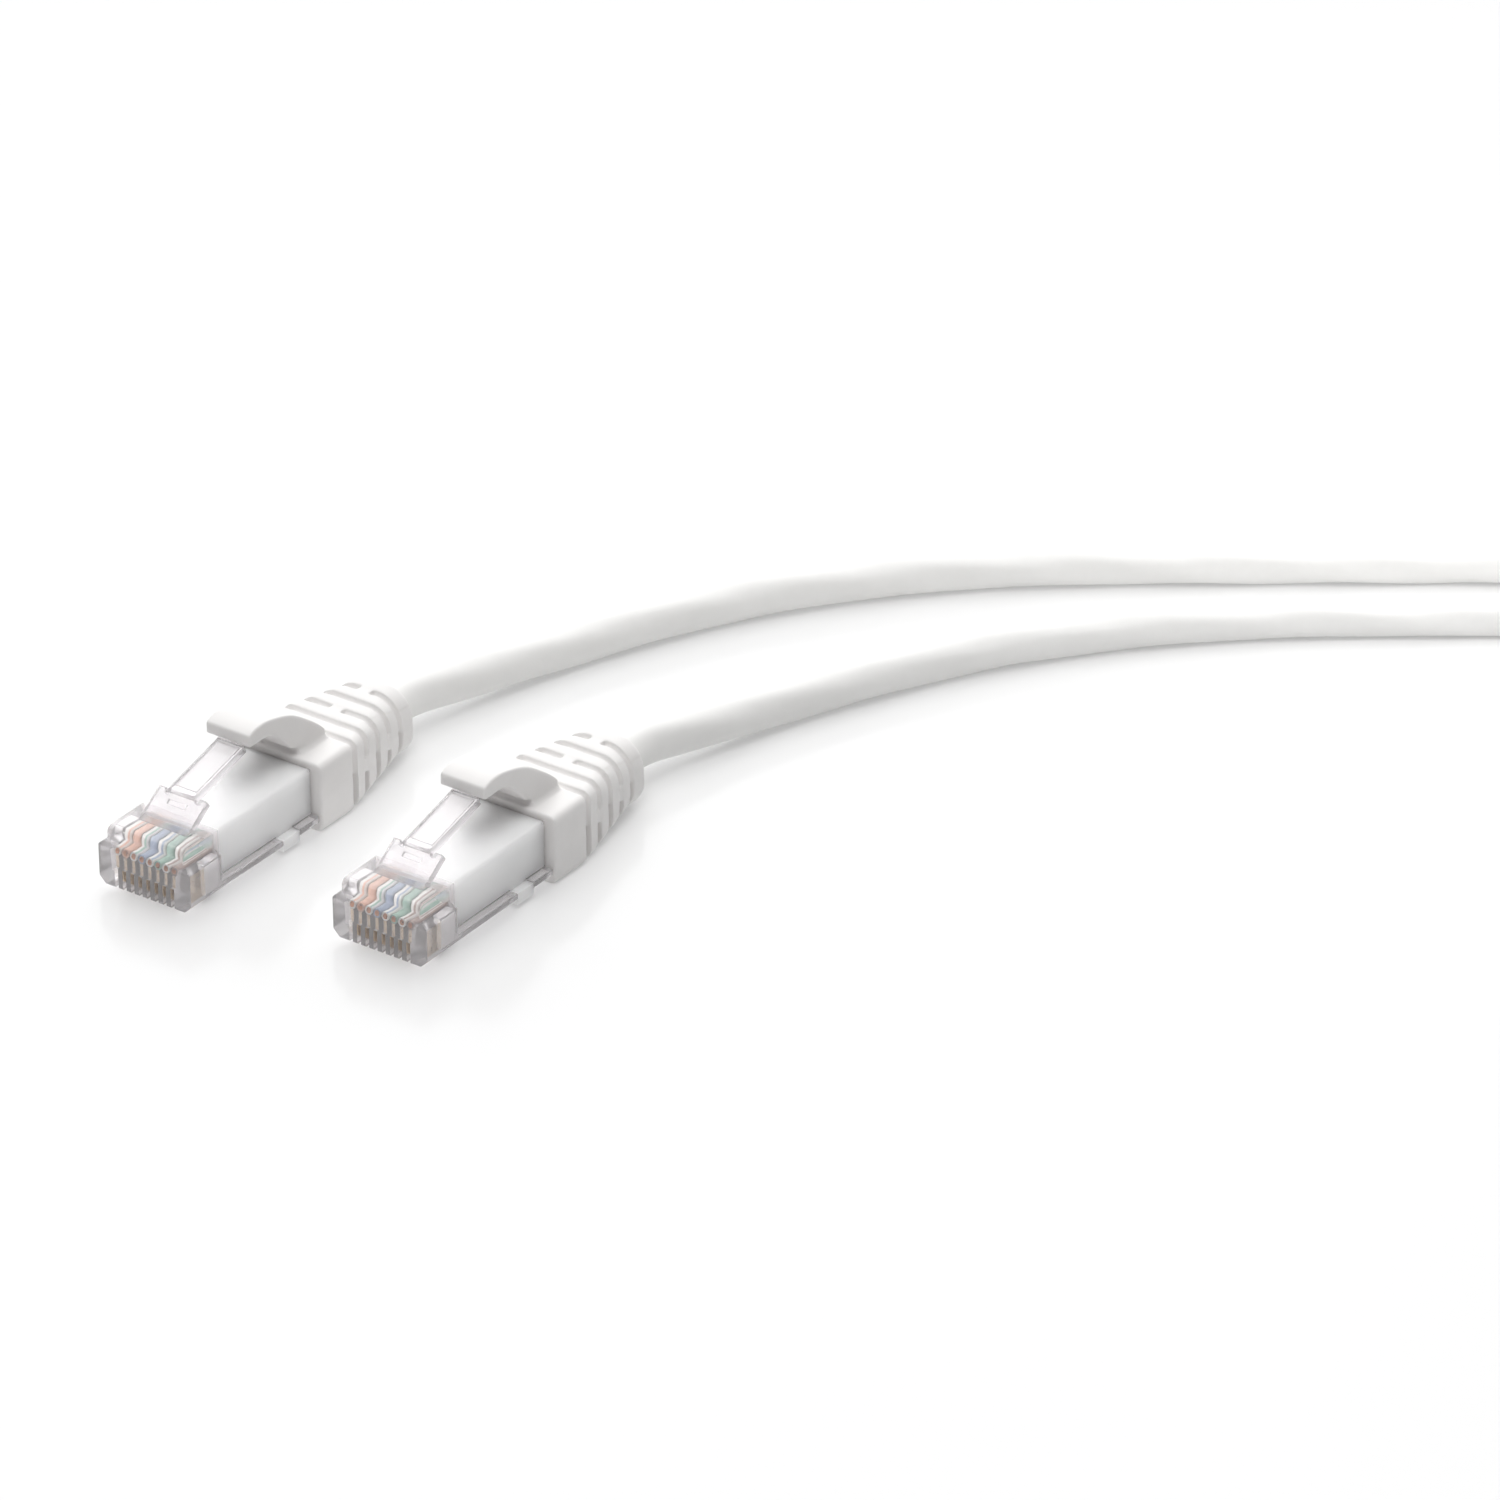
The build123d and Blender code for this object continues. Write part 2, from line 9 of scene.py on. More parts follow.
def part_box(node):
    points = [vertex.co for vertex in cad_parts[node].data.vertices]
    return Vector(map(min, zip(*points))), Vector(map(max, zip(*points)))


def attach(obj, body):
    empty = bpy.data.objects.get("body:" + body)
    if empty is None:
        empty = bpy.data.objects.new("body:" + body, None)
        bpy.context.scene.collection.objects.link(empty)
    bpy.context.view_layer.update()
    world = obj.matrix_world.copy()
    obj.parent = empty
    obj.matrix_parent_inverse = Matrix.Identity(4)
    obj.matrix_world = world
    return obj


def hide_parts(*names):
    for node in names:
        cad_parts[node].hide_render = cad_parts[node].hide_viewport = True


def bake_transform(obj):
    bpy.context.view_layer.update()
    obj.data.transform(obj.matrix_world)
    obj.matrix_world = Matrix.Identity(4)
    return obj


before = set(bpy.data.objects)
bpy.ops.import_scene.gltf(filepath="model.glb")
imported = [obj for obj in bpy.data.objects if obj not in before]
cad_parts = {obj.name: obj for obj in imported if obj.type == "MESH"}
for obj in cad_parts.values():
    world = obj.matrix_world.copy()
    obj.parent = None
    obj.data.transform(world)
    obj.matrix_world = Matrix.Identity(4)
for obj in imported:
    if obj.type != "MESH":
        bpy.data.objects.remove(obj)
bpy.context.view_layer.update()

# Ethernet patch cable.  Blender's unit is the metre; shapes of one end are written in
# millimetres in that end's own frame: x across the plug, y from the nose face towards the
# cable, z from the plug's underside.
MM = 0.001

# ---------------------------------------------------------------- camera

CAMERA_PLACE = (0.44857, -0.57596, 0.42375)
CAMERA_AZIMUTH = 35.0
CAMERA_ELEVATION = 29.5
CAMERA_LENS = 200           # millimetres, as the sensor's width
CAMERA_SENSOR = 36
CAMERA_REACH = 10


def make_camera():
    data = bpy.data.cameras.new("camera")
    data.lens = CAMERA_LENS
    data.sensor_width = CAMERA_SENSOR
    data.clip_end = CAMERA_REACH
    camera = bpy.data.objects.new("camera", data)
    bpy.context.scene.collection.objects.link(camera)
    camera.location = CAMERA_PLACE
    camera.rotation_euler = (math.radians(90 - CAMERA_ELEVATION), 0, math.radians(CAMERA_AZIMUTH))
    bpy.context.scene.camera = camera


# ---------------------------------------------------------------- sizes

# Plug housing
NOSE_HALF = 5.84            # half of its width
NOSE_LENGTH = 5.2
NOSE_SHOULDER_Z = 4.45      # where it starts to narrow to the body's width
SHOULDER_RISE = 0.7
FOOT_CHAMFER = 0.8          # along the lower edges of the nose and the flange
BODY_HALF = 4.85
PLUG_HEIGHT = 6.65
HOUSING_LENGTH = 21.15
FLANGE_THICKNESS = 1.4
FLOOR_WALL = 1.5
WINDOW = (15.1, 17.9)       # opening across the floor and the flange, along y
CONTACT_PITCH = 1.02
CONTACT_COUNT = 8
WIRE_ROW_Z = 4.05

# Latch: the place (y, z) where its ramp bends
LATCH_PIVOT = (3.9, 6.65)

# Boot and lever
BOOT_TOP = 7.3
LEVER_HALF = 2.8

# Cable
CABLE_DIAMETER = 4.5
CABLE_RADIUS = CABLE_DIAMETER / 2
JACKET_Z = 3.3              # height of its centre in the plug and the boot

ENDS = ("a", "b")


def middle(low, high, axis):
    return (low[axis] + high[axis]) / 2


def end_origin(letter):
    """Where an end's own frame sits in the row frame, in metres."""
    low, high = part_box("plug_housing_" + letter)
    return Vector((middle(low, high, 0), low[1], low[2]))


def end_matrix(letter):
    """From an end's own frame in millimetres to the row frame in metres."""
    return Matrix.Translation(end_origin(letter)) @ Matrix.Scale(MM, 4)


# ---------------------------------------------------------------- outlines

def box_points(low, high):
    """The four corners of a rectangle, from two of them."""
    return [(low[0], low[1]), (high[0], low[1]), (high[0], high[1]), (low[0], high[1])]


def quarter(centre, radius, start, steps=6):
    """Points along a quarter circle, clockwise from an angle in degrees."""
    points = []
    for k in range(steps + 1):
        angle = math.radians(start - 90 * k / steps)
        points.append((centre[0] + radius * math.cos(angle), centre[1] + radius * math.sin(angle)))
    return points


def arch(half, low, top, corner):
    """Section with a flat foot and two rounded top corners, as (x, z) points."""
    left = quarter((corner - half, top - corner), corner, 180)
    right = quarter((half - corner, top - corner), corner, 90)
    return [(-half, low)] + left + right + [(half, low)]


def mirrored(right):
    """A whole outline of (x, z) points from its right half, which starts at the foot."""
    left = [(-x, z) for x, z in right]
    return left[:1] + right + left[:0:-1]


# ---------------------------------------------------------------- meshes

def new_object(name, mesh):
    obj = bpy.data.objects.new(name, mesh)
    bpy.context.scene.collection.objects.link(obj)
    return obj


def object_from(bm, name):
    """Turns a bmesh into an object, with its faces turned outwards."""
    mesh = bpy.data.meshes.new(name)
    bmesh.ops.recalc_face_normals(bm, faces=bm.faces)
    bm.to_mesh(mesh)
    bm.free()
    return new_object(name, mesh)


def bmesh_of(mesh):
    bm = bmesh.new()
    bm.from_mesh(mesh)
    return bm


def mesh_out_of(obj):
    """Takes the mesh and drops the object that held it."""
    mesh = obj.data
    bpy.data.objects.remove(obj)
    return mesh


def prism(outline, low, high, axis):
    """A bmesh of a flat outline, extruded along one axis.

    The outline's points are (y, z) for axis 0, (x, z) for axis 1 and (x, y) for axis 2."""
    bm = bmesh.new()
    rings = []
    for level in (low, high):
        ring = []
        for point in outline:
            place = list(point)
            place.insert(axis, level)
            ring.append(bm.verts.new(place))
        rings.append(ring)
    bm.faces.new(rings[0])
    bm.faces.new(list(reversed(rings[1])))
    count = len(outline)
    for i in range(count):
        j = (i + 1) % count
        bm.faces.new((rings[0][i], rings[0][j], rings[1][j], rings[1][i]))
    return bm


def block(low, high):
    """A bmesh box between two corners."""
    return prism(box_points(low, high), low[2], high[2], 2)


def rod(centre, radius, low, high, axis, sides=32):
    """A bmesh cylinder along one axis."""
    outline = []
    for i in range(sides):
        angle = 2 * math.pi * i / sides
        outline.append((centre[0] + radius * math.cos(angle), centre[1] + radius * math.sin(angle)))
    return prism(outline, low, high, axis)


def loft(outlines, places):
    """A closed bmesh through outlines of (x, z) points at places along y."""
    bm = bmesh.new()
    rings = [[bm.verts.new((x, y, z)) for x, z in outline]
             for outline, y in zip(outlines, places)]
    count = len(rings[0])
    for near, far in zip(rings, rings[1:]):
        for i in range(count):
            j = (i + 1) % count
            bm.faces.new((near[i], near[j], far[j], far[i]))
    bm.faces.new(list(reversed(rings[0])))
    bm.faces.new(rings[-1])
    return bm


def bevelled(bm, width, segments=2, sharpest=30.0):
    """Rounds every edge of a bmesh that turns by more than an angle."""
    bmesh.ops.recalc_face_normals(bm, faces=bm.faces)
    edges = [e for e in bm.edges if e.calc_face_angle(0) > math.radians(sharpest)]
    bmesh.ops.bevel(bm, geom=edges, offset=width, segments=segments, profile=0.5,
                    affect="EDGES", clamp_overlap=True)
    return bm


def applied(obj):
    """Turns the modifiers of an object into plain mesh."""
    graph = bpy.context.evaluated_depsgraph_get()
    mesh = bpy.data.meshes.new_from_object(obj.evaluated_get(graph))
    obj.modifiers.clear()
    obj.data = mesh
    return obj


def combine(obj, parts, operation):
    """Boolean of an object with a list of bmeshes, one after another."""
    for bm in parts:
        tool = object_from(bm, "tool")
        step = obj.modifiers.new("step", "BOOLEAN")
        step.operation = operation
        step.solver = "EXACT"
        step.object = tool
        applied(obj)
        bpy.data.objects.remove(tool)
    return obj


def into_place(obj, letter):
    """Moves a mesh from an end's own frame into the row frame."""
    obj.data.transform(end_matrix(letter))
    obj.data.update()
    return obj


def smooth_all(mesh):
    mesh.polygons.foreach_set("use_smooth", [True] * len(mesh.polygons))


def smooth_by_angle(obj, degrees):
    """Smooth shading, with a crease where faces meet at more than the angle."""
    smooth_all(obj.data)
    bm = bmesh_of(obj.data)
    for edge in bm.edges:
        edge.smooth = edge.calc_face_angle(0) < math.radians(degrees)
    bm.to_mesh(obj.data)
    bm.free()
    return obj


# ---------------------------------------------------------------- materials

MOTTLE_LOW = 0.3            # a noise's value up to which the first of two colours holds
MOTTLE_HIGH = 0.7           # and from which the second does


def new_material(name):
    material = bpy.data.materials.new(name)
    material.use_nodes = True
    shader = material.node_tree.nodes["Principled BSDF"]
    return material, material.node_tree, shader


def noise_on(tree, scale, detail=2.0, stretch=(1, 1, 1)):
    """Noise in object coordinates, in features per metre."""
    place = tree.nodes.new("ShaderNodeTexCoord")
    mapping = tree.nodes.new("ShaderNodeMapping")
    mapping.inputs["Scale"].default_value = stretch
    noise = tree.nodes.new("ShaderNodeTexNoise")
    noise.inputs["Scale"].default_value = scale
    noise.inputs["Detail"].default_value = detail
    tree.links.new(place.outputs["Object"], mapping.inputs["Vector"])
    tree.links.new(mapping.outputs["Vector"], noise.inputs["Vector"])
    return noise.outputs["Fac"]


def ramp_of(tree, value, stops):
    """A colour ramp over a value, from (position, colour) stops."""
    ramp = tree.nodes.new("ShaderNodeValToRGB")
    elements = ramp.color_ramp.elements
    while len(elements) < len(stops):
        elements.new(0.5)
    for element, (position, colour) in zip(elements, stops):
        element.position = position
        element.color = (*colour, 1)
    tree.links.new(value, ramp.inputs["Fac"])
    return ramp.outputs["Color"]


def mottled(tree, noise, first, second, high=MOTTLE_HIGH):
    """Two colours in the soft patches of a noise."""
    return ramp_of(tree, noise, [(MOTTLE_LOW, first), (high, second)])


def range_of(tree, value, low, high):
    """A value from 0 to 1, brought to a range."""
    node = tree.nodes.new("ShaderNodeMapRange")
    node.inputs["To Min"].default_value = low
    node.inputs["To Max"].default_value = high
    tree.links.new(value, node.inputs["Value"])
    return node.outputs["Result"]


def bump_of(tree, shader, height, strength, distance):
    """Raises the surface by a height from 0 to 1; the distance is in metres."""
    bump = tree.nodes.new("ShaderNodeBump")
    bump.inputs["Strength"].default_value = strength
    bump.inputs["Distance"].default_value = distance
    tree.links.new(height, bump.inputs["Height"])
    tree.links.new(bump.outputs["Normal"], shader.inputs["Normal"])


def finished(tree, shader, colours, roughness):
    """Links a material's colours and its roughness."""
    tree.links.new(colours, shader.inputs["Base Color"])
    tree.links.new(roughness, shader.inputs["Roughness"])


def shaded(colour, factor):
    return tuple(c * factor for c in colour)


def soft_plastic(name, colour, roughness, subsurface, reach=0.0008):
    """Moulded plastic: faint mottling, a fine grain and light that goes a little way in."""
    material, tree, shader = new_material(name)
    mottle = noise_on(tree, scale=420, detail=3)
    patches = noise_on(tree, scale=900, detail=2)
    finished(tree, shader, mottled(tree, mottle, shaded(colour, 0.975), colour),
             range_of(tree, patches, low=roughness - 0.05, high=roughness + 0.06))
    shader.inputs["IOR"].default_value = 1.5
    shader.inputs["Subsurface Weight"].default_value = subsurface
    shader.inputs["Subsurface Radius"].default_value = (1.0, 0.98, 0.97)
    shader.inputs["Subsurface Scale"].default_value = reach
    grain = noise_on(tree, scale=5200, detail=2)
    bump_of(tree, shader, grain, strength=0.25, distance=0.00003)
    return material


def let_lamps_through(tree, shader, tint):
    """Light crosses the clear plastic as through a pane, so that what it holds is lit."""
    output = tree.nodes["Material Output"]
    path = tree.nodes.new("ShaderNodeLightPath")
    pane = tree.nodes.new("ShaderNodeBsdfTransparent")
    pane.inputs["Color"].default_value = (*tint, 1)
    mix = tree.nodes.new("ShaderNodeMixShader")
    tree.links.new(path.outputs["Is Shadow Ray"], mix.inputs["Fac"])
    tree.links.new(shader.outputs["BSDF"], mix.inputs[1])
    tree.links.new(pane.outputs["BSDF"], mix.inputs[2])
    tree.links.new(mix.outputs["Shader"], output.inputs["Surface"])


def clear_plastic():
    """Polycarbonate: clear, faintly grey, with a trace of flow marks."""
    material, tree, shader = new_material("clear_polycarbonate")
    flow = noise_on(tree, scale=260, detail=2, stretch=(1, 0.4, 1))
    patches = noise_on(tree, scale=700, detail=2)
    finished(tree, shader, mottled(tree, flow, (0.88, 0.86, 0.87), (0.93, 0.91, 0.92)),
             range_of(tree, patches, low=0.07, high=0.13))
    shader.inputs["IOR"].default_value = 1.45
    shader.inputs["Transmission Weight"].default_value = 0.77
    shader.inputs["Coat Weight"].default_value = 0.25
    shader.inputs["Coat Roughness"].default_value = 0.03
    let_lamps_through(tree, shader, tint=(0.98, 0.975, 0.98))
    return material


def plated_metal(name, colour, dark):
    material, tree, shader = new_material(name)
    worn = noise_on(tree, scale=2600, detail=3)
    finished(tree, shader, mottled(tree, worn, dark, colour, high=0.65),
             range_of(tree, worn, low=0.2, high=0.38))
    shader.inputs["Metallic"].default_value = 1.0
    return material


WIRE_WHITE = (0.82, 0.81, 0.78)
WIRE_COLOURS = {
    "orange": (0.78, 0.48, 0.37),
    "green": (0.33, 0.50, 0.42),
    "blue": (0.34, 0.41, 0.54),
    "brown": (0.38, 0.29, 0.26),
}
WIRE_NAMES = [
    "white_orange", "orange", "white_green", "blue",
    "white_blue", "green", "white_brown", "brown",
]
STRIPE_WANDER = 0.25        # how far a stripe strays to each side


def striped(tree, colour):
    """White insulation with a stripe of its pair's colour along its upper side."""
    place = tree.nodes.new("ShaderNodeNewGeometry")
    split = tree.nodes.new("ShaderNodeSeparateXYZ")
    tree.links.new(place.outputs["Normal"], split.inputs["Vector"])
    stray = range_of(tree, noise_on(tree, scale=120, detail=1), -STRIPE_WANDER, STRIPE_WANDER)
    across = tree.nodes.new("ShaderNodeMath")
    across.operation = "ADD"
    tree.links.new(split.outputs["X"], across.inputs[0])
    tree.links.new(stray, across.inputs[1])
    stops = [(0.0, WIRE_WHITE), (0.18, WIRE_WHITE), (0.24, colour), (0.62, colour),
             (0.68, WIRE_WHITE)]
    return ramp_of(tree, range_of(tree, across.outputs[0], low=0, high=1), stops)


def wire_material(name):
    """Extruded insulation, plain or white with a stripe."""
    material, tree, shader = new_material("wire_" + name)
    colour = WIRE_COLOURS[name.split("_")[-1]]
    worn = noise_on(tree, scale=1500, detail=2)
    if name.startswith("white"):
        colours = striped(tree, colour)
    else:
        colours = mottled(tree, worn, shaded(colour, 0.85), colour)
    finished(tree, shader, colours, range_of(tree, worn, low=0.3, high=0.42))
    return material


def strap_material():
    """Hook-and-loop strap: dark, with a fine looped surface."""
    material, tree, shader = new_material("strap_fabric")
    loops = noise_on(tree, scale=6000, detail=4)
    finished(tree, shader, mottled(tree, loops, (0.012, 0.012, 0.014), (0.05, 0.05, 0.055)),
             range_of(tree, loops, low=0.75, high=0.95))
    shader.inputs["Sheen Weight"].default_value = 0.4
    bump_of(tree, shader, loops, strength=0.8, distance=0.0001)
    return material


def paint(obj, material):
    obj.data.materials.clear()
    obj.data.materials.append(material)
    for face in obj.data.polygons:
        face.material_index = 0


# ---------------------------------------------------------------- cable

# Routes of the two free leads, from each boot to the coil, in metres
LEAD_A_ROUTE = [
    (-0.0128, 0.01745, 0.0038),
    (-0.0128, 0.02065, 0.0038),
    (-0.0121, 0.0244, 0.0035),
    (-0.0103, 0.0312, 0.0028),
    (-0.0082, 0.0385, 0.00235),
    (-0.00495, 0.0468, 0.00225),
    (-0.00065, 0.0564, 0.00225),
    (0.0058, 0.0667, 0.00225),
    (0.0143, 0.0766, 0.00225),
    (0.0245, 0.0859, 0.00225),
    (0.0460, 0.1013, 0.00225),
    (0.0700, 0.1183, 0.00225),
    (0.0869, 0.1216, 0.00225),
    (0.1107, 0.1204, 0.00225),
]
LEAD_B_ROUTE = [
    (0.0128, 0.02255, 0.0038),
    (0.0128, 0.02575, 0.0038),
    (0.01355, 0.0295, 0.0035),
    (0.0157, 0.0362, 0.0028),
    (0.0179, 0.0434, 0.00235),
    (0.0213, 0.0513, 0.00225),
    (0.0258, 0.0608, 0.00225),
    (0.0323, 0.0710, 0.00225),
    (0.0409, 0.0809, 0.00225),
    (0.0510, 0.09015, 0.00225),
    (0.0645, 0.0999, 0.00225),
    (0.0720, 0.1052, 0.0023),
    (0.0811, 0.1071, 0.0032),
    (0.0902, 0.1052, 0.0046),
    (0.0978, 0.0999, 0.0059),
    (0.1026, 0.0921, 0.0066),
]
ROUTE_STEPS = 16            # points of the smooth line for each point of the route
RING_SPACING = 0.9 * MM
SHORTEST_LEG = 1e-9         # metres; anything shorter is one point twice

COIL_CENTRE = (0.1299, 0.0901)
COIL_OUTER_TURN = 0.02635
COIL_INNER_TURN = 0.02185
COIL_ENTRY = 79.4           # degrees around the coil's centre
COIL_SWEEP = 1328.4
COIL_STEPS = 45
SEAT_CHANGES = (330, 660, 990)  # degrees wound before the cable moves in, up and out
SEAT_SLOPE = 30             # degrees that each of these moves takes

STRAP_ANGLE = -25.0         # where the strap holds the coil, around the coil's centre
STRAP_HALF_ANGLE = 11.5
STRAP_THICKNESS = 0.6 * MM
STRAP_SLOPE = 25            # degrees in which the cable sinks from the strap to the floor
STRAP_CORNER = 1.7 * MM
STRAP_GAP = 0.05 * MM       # between the turns, the strap and its tail
STRAP_STEPS = 10            # from one edge of the strap to the other
STRAP_CREASE = 40
TAIL = slice(3, -2)         # the lap's points that the tail covers
TAIL_SHARE = 0.8            # of the strap's thickness


def eased(value):
    """A smooth step from 0 to 1."""
    value = min(max(value, 0), 1)
    return value * value * (3 - 2 * value)


def coil_turn(sweep):
    """Radius and height of the cable at an angle wound so far: four stacked seats."""
    inward, upward, outward = [eased((sweep - start) / SEAT_SLOPE) for start in SEAT_CHANGES]
    change = COIL_OUTER_TURN - COIL_INNER_TURN
    low = CABLE_RADIUS * MM
    radius = COIL_OUTER_TURN - change * inward + change * outward
    height = low + 2 * low * upward
    return radius, height


def coil_points():
    """Control points of the coil's turns, clockwise, on tangents of the wanted circles."""
    step = COIL_SWEEP / COIL_STEPS
    points = []
    for i in range(COIL_STEPS):
        sweep = (i + 0.5) * step
        radius, height = coil_turn(sweep)
        angle = math.radians(COIL_ENTRY - sweep)
        reach = radius / math.cos(math.radians(step / 2))
        from_strap = (COIL_ENTRY - sweep - STRAP_ANGLE + 180) % 360 - 180
        lift = STRAP_THICKNESS * eased(2 - abs(from_strap) / STRAP_SLOPE)
        points.append((COIL_CENTRE[0] + reach * math.cos(angle),
                       COIL_CENTRE[1] + reach * math.sin(angle), height + lift))
    return points


def cable_line():
    """The cable's smooth centreline, as points a short way apart."""
    points = LEAD_A_ROUTE + coil_points() + list(reversed(LEAD_B_ROUTE))
    curve = bpy.data.curves.new("route", "CURVE")
    curve.dimensions = "3D"
    curve.resolution_u = ROUTE_STEPS
    spline = curve.splines.new("NURBS")
    spline.points.add(len(points) - 1)
    for target, point in zip(spline.points, points):
        target.co = (*point, 1)
    spline.order_u = 3
    spline.use_endpoint_u = True
    route = new_object("route", curve)
    graph = bpy.context.evaluated_depsgraph_get()
    mesh = bpy.data.meshes.new_from_object(route.evaluated_get(graph))
    line = np.array([v.co for v in mesh.vertices], float)
    bpy.data.objects.remove(route)
    bpy.data.meshes.remove(mesh)
    return line


def evenly(line, spacing):
    """Points at even spacing along a line, and the line's length."""
    legs = np.linalg.norm(np.diff(line, axis=0), axis=1)
    along = np.concatenate([[0], np.cumsum(legs)])
    keep = np.concatenate([[True], legs > SHORTEST_LEG])
    count = int(along[-1] / spacing)
    targets = np.linspace(0, along[-1], count + 1)
    points = [np.interp(targets, along[keep], line[keep, k]) for k in range(3)]
    return np.stack(points, 1), along[-1]


PAIR_LAY = 0.062            # metres for one turn of the four twisted pairs under the jacket
PAIR_COUNT = 4
PAIR_BULGE = 0.00005
PAIR_CREST = 1.3            # bulges by which the crests are held back, to stay in the cable's size
SLOW_TWIST = 1.7            # a second, broader twist makes the first one uneven
SLOW_SHARE = 0.6
SLOW_START = 1.0


def jacket_radius(along, angle):
    """The jacket's radius, where the twisted pairs under it show a little."""
    turn = 2 * math.pi * along / PAIR_LAY
    broad = np.cos(2 * (angle - SLOW_TWIST * turn) + SLOW_START)
    bulge = np.cos(PAIR_COUNT * (angle - turn)) + SLOW_SHARE * broad
    return CABLE_RADIUS * MM + PAIR_BULGE * (bulge - PAIR_CREST)


def tube_rings(line, radius_at, angles):
    """Vertices of rings around a line, one ring a point, that do not twist."""
    tangents = np.gradient(line, axis=0)
    tangents /= np.linalg.norm(tangents, axis=1)[:, None]
    spacing = np.linalg.norm(np.diff(line, axis=0), axis=1)
    along = np.concatenate([[0], np.cumsum(spacing)])
    normal = np.cross(tangents[0], (0, 0, 1.0))
    vertices = []
    for place, tangent, distance in zip(line, tangents, along):
        normal = normal - tangent * np.dot(normal, tangent)
        normal /= np.linalg.norm(normal)
        across = np.cross(tangent, normal)
        radii = radius_at(distance, angles)
        ring = (place + np.outer(radii * np.cos(angles), normal)
                + np.outer(radii * np.sin(angles), across))
        vertices.extend(ring.tolist())
    return vertices


def tube_faces(count, sides):
    """Faces between the rings of a tube, and its two ends."""
    faces = []
    for i in range(count - 1):
        for j in range(sides):
            k = (j + 1) % sides
            faces.append((i * sides + j, i * sides + k, (i + 1) * sides + k, (i + 1) * sides + j))
    faces.append(tuple(reversed(range(sides))))
    faces.append(tuple(range((count - 1) * sides, count * sides)))
    return faces


def tube(name, line, radius_at, sides=28):
    """A closed tube around a line."""
    angles = 2 * math.pi * np.arange(sides) / sides
    mesh = bpy.data.meshes.new(name)
    mesh.from_pydata(tube_rings(line, radius_at, angles), [], tube_faces(len(line), sides))
    mesh.update()
    smooth_all(mesh)
    return new_object(name, mesh)


def make_cable(material):
    line, length = evenly(cable_line(), RING_SPACING)
    cable = tube("patch_cable", line, jacket_radius)
    paint(cable, material)
    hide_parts("cable_lead_a", "cable_lead_b", "cable_coil")
    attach(cable, "cable")
    return cable, line, length


def strap_lap(offset, first, last):
    """Points (radius, height) around the turns at a distance, from one corner to another."""
    inner = COIL_INNER_TURN - CABLE_RADIUS * MM + STRAP_CORNER
    outer = COIL_OUTER_TURN + CABLE_RADIUS * MM - STRAP_CORNER
    top = 4 * CABLE_RADIUS * MM - STRAP_CORNER
    corners = [(outer, STRAP_CORNER, 0), (outer, top, 90), (inner, top, 180),
               (inner, STRAP_CORNER, 270)]
    points = []
    for radius, height, end in corners[first:last]:
        centre = (radius, height + STRAP_THICKNESS)
        points.extend(reversed(quarter(centre, STRAP_CORNER + offset, end)))
    return points


def strap_ring(bm, outline, angle):
    """Vertices of an outline of (radius, height) points, at an angle around the coil."""
    return [bm.verts.new((COIL_CENTRE[0] + radius * math.cos(angle),
                          COIL_CENTRE[1] + radius * math.sin(angle), height))
            for radius, height in outline]


def add_band(bm, inside, outside, closed):
    """A band between two outlines, swept over the strap's width."""
    rows = []
    for i in range(STRAP_STEPS + 1):
        angle = math.radians(STRAP_ANGLE + STRAP_HALF_ANGLE * (2 * i / STRAP_STEPS - 1))
        rows.append([strap_ring(bm, inside, angle), strap_ring(bm, outside, angle)])
    count = len(inside)
    spans = [(j, (j + 1) % count) for j in range(count if closed else count - 1)]
    for near, far in zip(rows, rows[1:]):
        for side in (0, 1):
            for j, k in spans:
                bm.faces.new((near[side][j], near[side][k], far[side][k], far[side][j]))
    for low, high in (rows[0], rows[-1]):
        for j, k in spans:
            bm.faces.new((low[j], low[k], high[k], high[j]))
    if closed:
        return
    for near, far in zip(rows, rows[1:]):
        for j in (0, count - 1):
            bm.faces.new((near[0][j], near[1][j], far[1][j], far[0][j]))


def make_strap(material):
    """Strap around the four stacked turns, with its tail lapped over the top."""
    thickness = STRAP_THICKNESS - STRAP_GAP
    tail_inside = STRAP_THICKNESS + STRAP_GAP
    tail_outside = tail_inside + TAIL_SHARE * thickness
    bm = bmesh.new()
    add_band(bm, strap_lap(STRAP_GAP, 0, 4), strap_lap(STRAP_THICKNESS, 0, 4), closed=True)
    add_band(bm, strap_lap(tail_inside, 1, 3)[TAIL], strap_lap(tail_outside, 1, 3)[TAIL],
             closed=False)
    strap = object_from(bm, "coil_strap_band")
    smooth_by_angle(strap, STRAP_CREASE)
    paint(strap, material)
    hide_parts("coil_strap")
    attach(strap, "cable")
    return strap


# ---------------------------------------------------------------- plug housing and latch

EDGE_ROUNDING = 0.13
CREASE = 35                 # degrees from which an edge of the plug is shaded sharp
OVERLAP = 0.3               # by which parts that become one run into each other
BEYOND = 1                  # by which a cutting shape passes the face that it opens
NOSE_LEDGE = 0.3
NOSE_CORNER = 0.8

SLOT_HALF = 0.225           # contact slots, open to the front and the underside
SLOT_REAR = 4.01
SLOT_TOP = 2.3
PRONG_FRONT = 0.49          # their closed upper part, where the prongs stand
PRONG_TOP = WIRE_ROW_Z - 0.37

